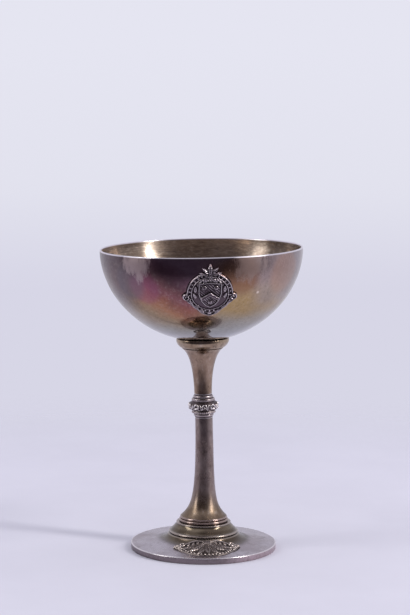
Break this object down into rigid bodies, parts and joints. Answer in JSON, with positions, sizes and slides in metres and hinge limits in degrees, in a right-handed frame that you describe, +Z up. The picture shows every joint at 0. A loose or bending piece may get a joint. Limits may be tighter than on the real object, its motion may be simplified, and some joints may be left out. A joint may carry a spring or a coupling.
{
  "type": "trophy cup",
  "caption": "Footed trophy goblet: a wide round bowl on a slim trumpet stem with a cast knop, over a stepped round foot, with a relief badge on bowl and foot.",
  "frame": {"origin": "on the surface that the foot stands on, under the centre of the bowl's rim", "axes": "+Z up along the stem, -Y towards the side with the badges, -X the way the upper part leans"},
  "size_m": [0.095, 0.0963, 0.1442],
  "materials": {
    "tarnished_bowl": "polished silver plate with rainbow tarnish",
    "worn_stem": "worn, lightly tarnished silver plate",
    "rubbed_foot": "rubbed silver plate with fine scratches",
    "oxidised_relief": "cast silver with dark hollows"
  },
  "bodies": {
    "root": {"bowl": "tarnished_bowl", "bowl_badge": "oxidised_relief", "upper_stem": "worn_stem", "knop": "oxidised_relief", "lower_stem": "worn_stem", "foot": "rubbed_foot", "foot_badge": "oxidised_relief"}
  },
  "joints": []
}
